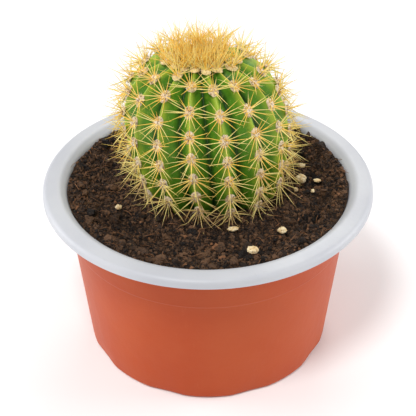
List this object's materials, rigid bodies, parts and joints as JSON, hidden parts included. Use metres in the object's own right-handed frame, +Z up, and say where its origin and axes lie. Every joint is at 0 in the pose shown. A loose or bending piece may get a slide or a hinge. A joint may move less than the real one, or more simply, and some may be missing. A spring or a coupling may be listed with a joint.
{
  "type": "potted round cactus",
  "caption": "Small round ribbed cactus with golden spines, growing in a two-colour plastic bowl pot filled with dark potting mix; stands on a table or sill as a live plant.",
  "frame": {"origin": "on the surface the pot stands on, on the pot's axis", "axes": "+Z up along the pot's axis; the plant's front faces -Y; +X to the right as seen from the front"},
  "size_m": [0.1199, 0.12, 0.124],
  "materials": {
    "terracotta_plastic": "terracotta-coloured thermoformed plastic sheet, satin",
    "grey_plastic": "light grey inner layer of the same sheet, satin, seen on the rolled rim",
    "potting_mix": "moist dark brown peat crumbs and fibres, matte",
    "green_skin": "waxy ribbed plant skin, darker in the grooves, satin",
    "felt_and_spines": "golden to straw-coloured spines on cream felt pads",
    "pale_grain": "tan and cream mineral and bark grains, matte"
  },
  "bodies": {
    "root": {"pot_outer_layer": "terracotta_plastic", "pot_inner_layer": "grey_plastic", "soil": "potting_mix", "cactus_stem": "green_skin", "areoles_and_spines_rib_01": "felt_and_spines", "areoles_and_spines_rib_02": "felt_and_spines", "areoles_and_spines_rib_03": "felt_and_spines", "areoles_and_spines_rib_04": "felt_and_spines", "areoles_and_spines_rib_05": "felt_and_spines", "areoles_and_spines_rib_06": "felt_and_spines", "areoles_and_spines_rib_07": "felt_and_spines", "areoles_and_spines_rib_08": "felt_and_spines", "areoles_and_spines_rib_09": "felt_and_spines", "areoles_and_spines_rib_10": "felt_and_spines", "areoles_and_spines_rib_11": "felt_and_spines", "areoles_and_spines_rib_12": "felt_and_spines", "areoles_and_spines_rib_13": "felt_and_spines", "areoles_and_spines_rib_14": "felt_and_spines", "areoles_and_spines_rib_15": "felt_and_spines", "crown_wool_and_spines": "felt_and_spines", "grain_1": "pale_grain", "grain_2": "pale_grain", "grain_3": "pale_grain", "grain_4": "pale_grain", "grain_5": "pale_grain", "grain_6": "pale_grain", "grain_7": "pale_grain", "grain_8": "pale_grain", "grain_9": "pale_grain"}
  },
  "joints": []
}
